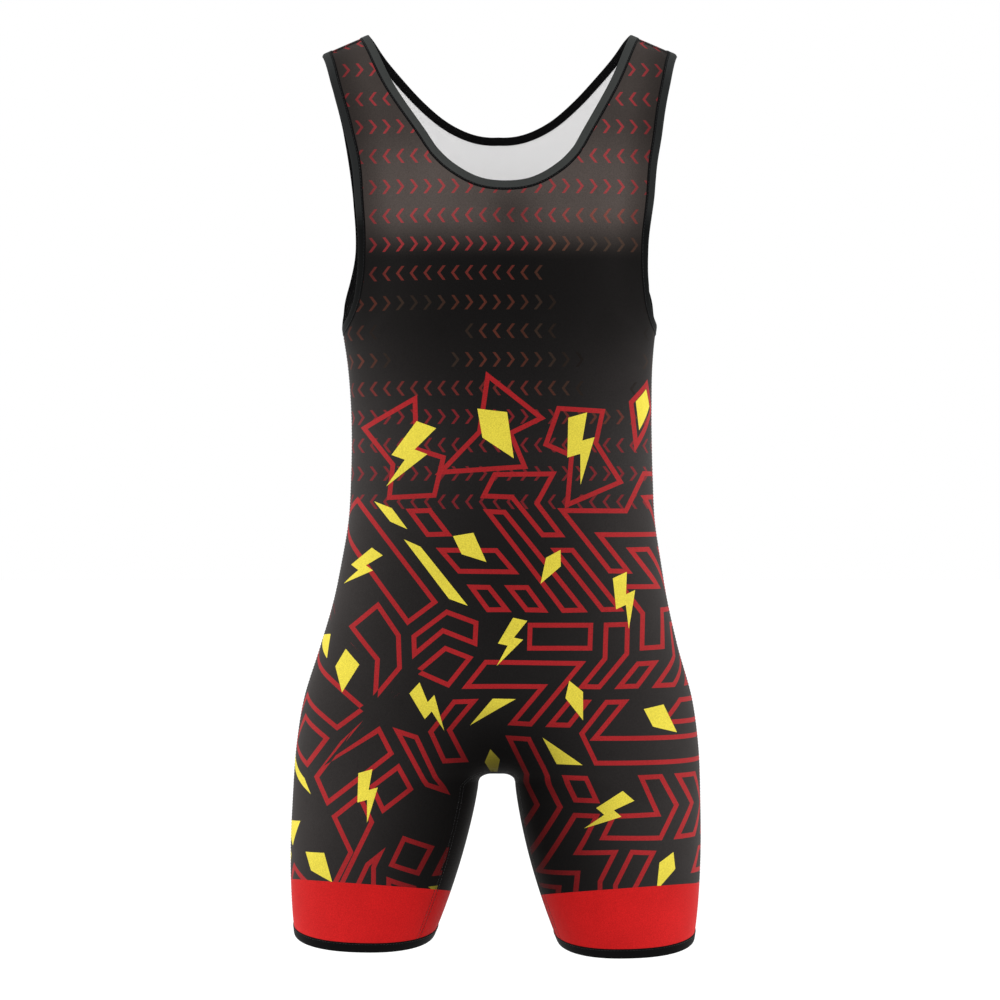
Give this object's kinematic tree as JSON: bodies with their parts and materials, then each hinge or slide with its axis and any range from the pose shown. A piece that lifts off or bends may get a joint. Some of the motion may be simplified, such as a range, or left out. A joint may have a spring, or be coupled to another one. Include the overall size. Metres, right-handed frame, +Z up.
{
  "type": "wrestling singlet",
  "caption": "Sleeveless wrestling singlet filled out as worn, with nobody in it: stretch-knit body with shoulder straps, scooped neck, open armholes, short legs, bound edges, printed cloth",
  "frame": {"origin": "midway between the tops of the shoulder straps, where a wearer's shoulders hold the garment", "axes": "+Z up, the front faces -Y, +X toward the garment's left-hand side (the right of someone facing its front)"},
  "size_m": [0.4094, 0.2193, 0.914],
  "materials": {
    "printed_knit": "matte stretch knit, printed",
    "binding_tape": "matte folded binding tape"
  },
  "bodies": {
    "root": {"front_panel": "printed_knit", "back_panel": "printed_knit", "neck_binding": "binding_tape", "arm_binding_left": "binding_tape", "arm_binding_right": "binding_tape", "leg_binding_left": "binding_tape", "leg_binding_right": "binding_tape"}
  },
  "joints": []
}
